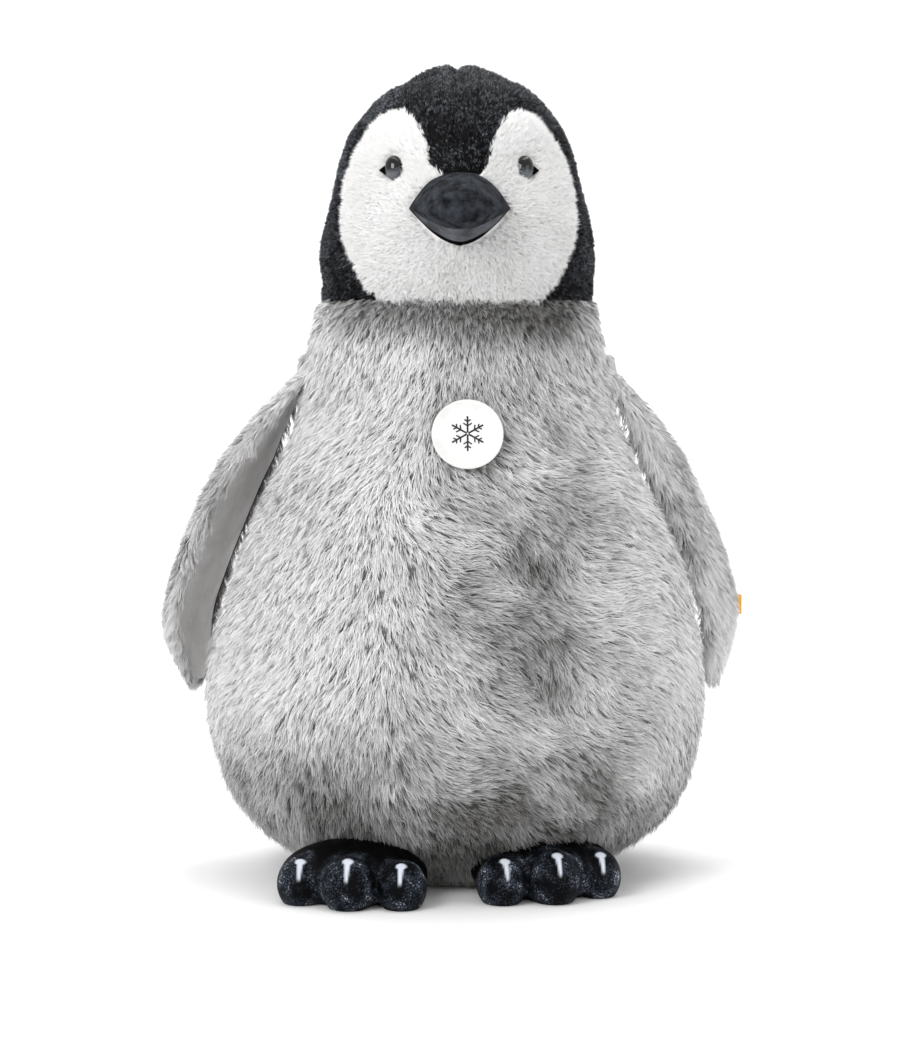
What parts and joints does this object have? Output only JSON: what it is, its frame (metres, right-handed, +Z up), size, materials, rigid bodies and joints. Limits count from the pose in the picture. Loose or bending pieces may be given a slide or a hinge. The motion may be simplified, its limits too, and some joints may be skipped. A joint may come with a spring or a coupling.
{
  "type": "plush penguin",
  "caption": "Large standing plush penguin chick with turning head, lifting wings, glossy eyes, stuffed beak, velvet feet, round chest badge and wing label.",
  "frame": {"origin": "on the floor, at the middle of the flat underside of the body", "axes": "+Z up, -Y the way the face looks, +X towards the penguin's own left wing"},
  "size_m": [0.5181, 0.4017, 0.7],
  "materials": {
    "body_fur": "long grey plush pile with darker roots",
    "base_cloth": "flat woven cloth",
    "hood_fur": "short dense black pile",
    "face_fur": "short dense white pile",
    "lining_cloth": "smooth brushed lining",
    "foot_velvet": "black velvet with pale painted claw marks",
    "beak_suede": "charcoal brushed suede cloth",
    "eye_plastic": "polished black",
    "eye_felt": "black felt",
    "washer_plastic": "moulded",
    "badge_plastic": "plain white enamel",
    "label_weave": "yellow woven ribbon",
    "filling": "polyester fibre",
    "pellet_cloth": "cotton bag of pellets"
  },
  "bodies": {
    "body": {"body_front_panel": "body_fur", "body_back_left_panel": "body_fur", "body_back_right_panel": "body_fur", "body_base_panel": "base_cloth", "body_stuffing": "filling", "pellet_bag": "pellet_cloth", "foot_left_upper": "foot_velvet", "foot_left_sole": "foot_velvet", "foot_left_stuffing": "filling", "foot_right_upper": "foot_velvet", "foot_right_sole": "foot_velvet", "foot_right_stuffing": "filling"},
    "neck": {"neck_roll": "filling"},
    "head": {"hood_left": "hood_fur", "hood_right": "hood_fur", "face_left": "face_fur", "face_right": "face_fur", "head_stuffing": "filling", "eye_left": "eye_plastic", "eye_right": "eye_plastic", "eye_washer_left": "washer_plastic", "eye_washer_right": "washer_plastic", "eye_corner_left": "eye_felt", "eye_corner_right": "eye_felt", "beak_upper": "beak_suede", "beak_stuffing": "filling", "beak_lip": "beak_suede", "beak_lower": "beak_suede"},
    "wing_left": {"wing_left_outer": "body_fur", "wing_left_lining": "lining_cloth", "wing_left_stuffing": "filling"},
    "wing_right": {"wing_right_outer": "body_fur", "wing_right_lining": "lining_cloth", "wing_right_stuffing": "filling"},
    "badge": {"badge_shell": "badge_plastic", "badge_disc": "badge_plastic", "badge_washer": "washer_plastic"},
    "label": {"wing_label": "label_weave"}
  },
  "joints": [
    {"name": "head_turn", "type": "hinge", "parent": "body", "child": "neck", "pos_m": [0, 0, 0.5129], "axis": [0, 0, 1], "range_deg": [-25, 25], "stiffness_Nm_per_rad": 2},
    {"name": "head_nod", "type": "hinge", "parent": "neck", "child": "head", "pos_m": [0, 0, 0.5129], "axis": [1, 0, 0], "range_deg": [-8, 8], "stiffness_Nm_per_rad": 6},
    {"name": "wing_left_lift", "type": "hinge", "parent": "body", "child": "wing_left", "pos_m": [0.12403, 0.018, 0.43403], "axis": [0, -1, 0], "range_deg": [0, 75]},
    {"name": "wing_right_lift", "type": "hinge", "parent": "body", "child": "wing_right", "pos_m": [-0.12403, 0.018, 0.43403], "axis": [0, 1, 0], "range_deg": [0, 75]},
    {"name": "badge_turn", "type": "hinge", "parent": "body", "child": "badge", "pos_m": [0.005, -0.15813, 0.38377], "axis": [0, -0.9577, 0.2879], "continuous": true},
    {"name": "label_flap", "type": "hinge", "parent": "wing_left", "child": "label", "pos_m": [0.24917, 0.10962, 0.22351], "axis": [0, 0, 1], "range_deg": [-25, 70], "stiffness_Nm_per_rad": 0.0005}
  ]
}
